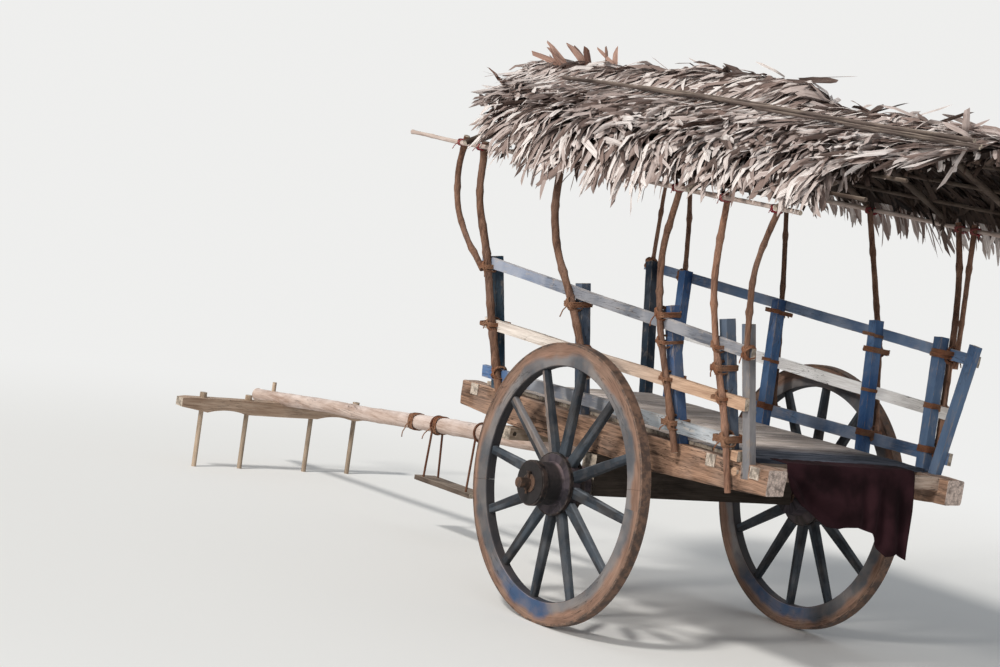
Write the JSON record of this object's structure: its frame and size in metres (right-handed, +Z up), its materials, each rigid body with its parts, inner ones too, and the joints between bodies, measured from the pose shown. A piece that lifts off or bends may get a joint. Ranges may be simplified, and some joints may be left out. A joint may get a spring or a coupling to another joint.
{
  "type": "two-wheeled bullock cart",
  "caption": "Two-wheeled timber cart with spoked wheels, slatted side racks, a palm leaf roof on bent sticks, and a long draught pole with a yoke for two animals.",
  "frame": {"origin": "middle of the floor under the whole cart as it stands on its wheels and yoke pegs", "axes": "+X forward along the draught pole, +Y to the cart's left along the axle, +Z up"},
  "size_m": [6.857, 2.288, 3.0373],
  "materials": {
    "beams": "weathered rough-sawn timber",
    "bare_wood": "bare sun-bleached timber",
    "blue_wood": "worn blue paint on timber",
    "pale_blue_wood": "faded blue-grey paint on timber",
    "deck": "dry grey boards",
    "dark_wood": "dark oiled timber",
    "bark": "bark on bent sticks",
    "pole_wood": "peeled round pole",
    "felloe_wood": "dusty painted timber",
    "spoke_wood": "dusty blue timber",
    "nave_wood": "greasy dark timber",
    "iron": "rusty wrought iron",
    "tyre_iron": "road-worn iron tyre",
    "thatch": "dry palm leaves",
    "rope": "coir rope",
    "cloth": "dark maroon cotton"
  },
  "bodies": {
    "chassis": {"axle": "iron", "axle_bed": "dark_wood", "axle_washers": "iron", "beam_left": "beams", "beam_peg": "bare_wood", "beam_right": "beams", "bolster": "bare_wood", "cross_bars": "beams", "deck_boards": "deck", "eave_pole_left": "bark", "eave_pole_right": "bark", "footboard": "dark_wood", "footboard_slings": "rope", "laths_left": "bark", "laths_right": "bark", "linchpins": "iron", "lower_rail_left": "pale_blue_wood", "lower_rail_right": "blue_wood", "middle_rail_left": "bare_wood", "middle_rail_right": "bare_wood", "packing_block": "bare_wood", "pole": "pole_wood", "rafters_left": "bark", "rafters_right": "bark", "ridge_pole": "bark", "roof_sticks_left": "bark", "roof_sticks_right": "bark", "stakes_left": "blue_wood", "stakes_right": "blue_wood", "tail_cloth": "cloth", "thatch_batten_left": "bark", "thatch_batten_right": "bark", "thatch_left": "thatch", "thatch_right": "thatch", "top_rail_left": "pale_blue_wood", "top_rail_right": "blue_wood", "yoke": "pole_wood", "yoke_pegs": "bare_wood", "yoke_pin": "bare_wood"},
    "wheel_left": {"tyre_left": "tyre_iron", "felloes_left": "felloe_wood", "spokes_left": "spoke_wood", "nave_left": "nave_wood", "nave_bands_left": "iron", "axle_box_left": "iron"},
    "wheel_right": {"tyre_right": "tyre_iron", "felloes_right": "felloe_wood", "spokes_right": "spoke_wood", "nave_right": "nave_wood", "nave_bands_right": "iron", "axle_box_right": "iron"}
  },
  "joints": [
    {"name": "wheel_left_spin", "type": "hinge", "parent": "chassis", "child": "wheel_left", "pos_m": [-1.33502, 0.882, 0.75], "axis": [0, 1, 0], "continuous": true},
    {"name": "wheel_right_spin", "type": "hinge", "parent": "chassis", "child": "wheel_right", "pos_m": [-1.33502, -0.882, 0.75], "axis": [0, 1, 0], "continuous": true}
  ]
}
